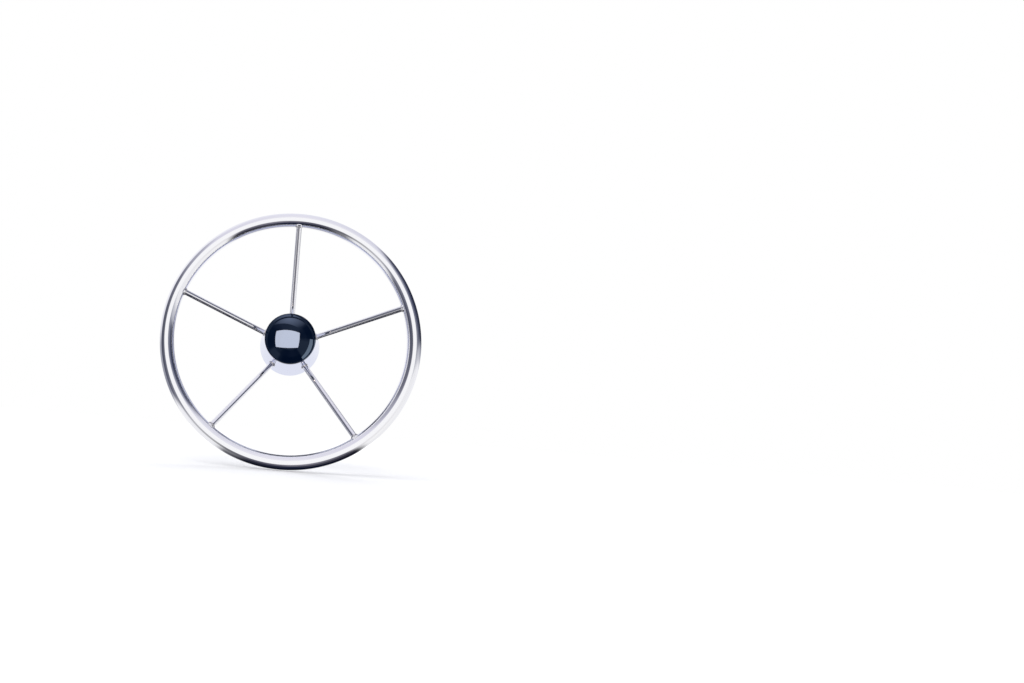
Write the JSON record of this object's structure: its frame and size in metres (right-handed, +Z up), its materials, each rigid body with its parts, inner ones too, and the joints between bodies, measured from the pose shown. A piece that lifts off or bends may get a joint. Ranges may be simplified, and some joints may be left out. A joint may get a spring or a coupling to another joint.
{
  "type": "boat steering wheel",
  "caption": "Dished stainless steering wheel for a boat: tube rim with finger grips pressed round its back, rod spokes, cast hub in a conical shroud and a domed black centre cap.",
  "frame": {"origin": "centre of the hub's rear face, at the mouth of the helm shaft's bore", "axes": "+Y along the wheel's axis towards the helm, -Y towards the helmsman, +Z up through the top spoke, +X to the helmsman's right"},
  "size_m": [0.343, 0.0923, 0.343],
  "materials": {
    "polished_stainless": "stainless steel tube and rod, mirror polished",
    "spun_stainless": "thin spun stainless steel, polished outside and dull inside",
    "cast_stainless": "cast stainless steel, matt and lightly grained",
    "black_plastic": "moulded plastic, glossy blue-black"
  },
  "bodies": {
    "wheel": {"rim": "polished_stainless", "hub_casting": "cast_stainless", "hub_shroud": "spun_stainless", "spoke_1": "polished_stainless", "spoke_2": "polished_stainless", "spoke_3": "polished_stainless", "spoke_4": "polished_stainless", "spoke_5": "polished_stainless"},
    "cap": {"hub_cap": "black_plastic"}
  },
  "joints": [
    {"name": "cap_pull", "type": "slide", "parent": "wheel", "child": "cap", "axis": [0, -1, 0], "range_m": [0, 0.06]}
  ]
}
